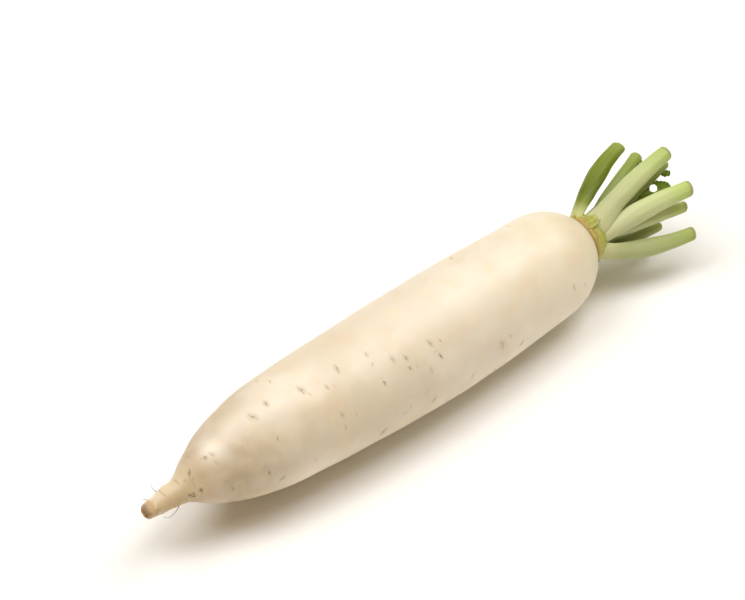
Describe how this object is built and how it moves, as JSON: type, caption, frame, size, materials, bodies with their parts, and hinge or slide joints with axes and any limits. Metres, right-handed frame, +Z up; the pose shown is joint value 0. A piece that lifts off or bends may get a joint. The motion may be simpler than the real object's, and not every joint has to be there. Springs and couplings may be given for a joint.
{
  "type": "daikon radish",
  "caption": "Long white daikon radish lying on its side, with a thin cut tail, a rounded shoulder and a crown of short cut green leaf stalks around frilly young leaves.",
  "frame": {"origin": "on the surface it lies on, under the middle of the whole radish's box", "axes": "+X along the root from its tip to its leaves, +Z up with the radish lying on its side"},
  "size_m": [0.3678, 0.069, 0.0696],
  "materials": {
    "root_skin": "smooth washed creamy white root skin, satin and slightly translucent, tan at the tail",
    "crown_skin": "yellow-green stem with papery brown leaf scars",
    "stalk_green": "satin pale yellow-green leaf stalk, paler at its foot, with fine grooves along it",
    "young_leaf_green": "dark green young leaf, waved and lightly wrinkled"
  },
  "bodies": {
    "root": {"root": "root_skin", "crown": "crown_skin", "stalk_1": "stalk_green", "stalk_2": "stalk_green", "stalk_3": "stalk_green", "stalk_4": "stalk_green", "stalk_5": "stalk_green", "stalk_6": "stalk_green", "stalk_7": "stalk_green", "young_leaf_1": "young_leaf_green", "young_leaf_2": "young_leaf_green"}
  },
  "joints": []
}
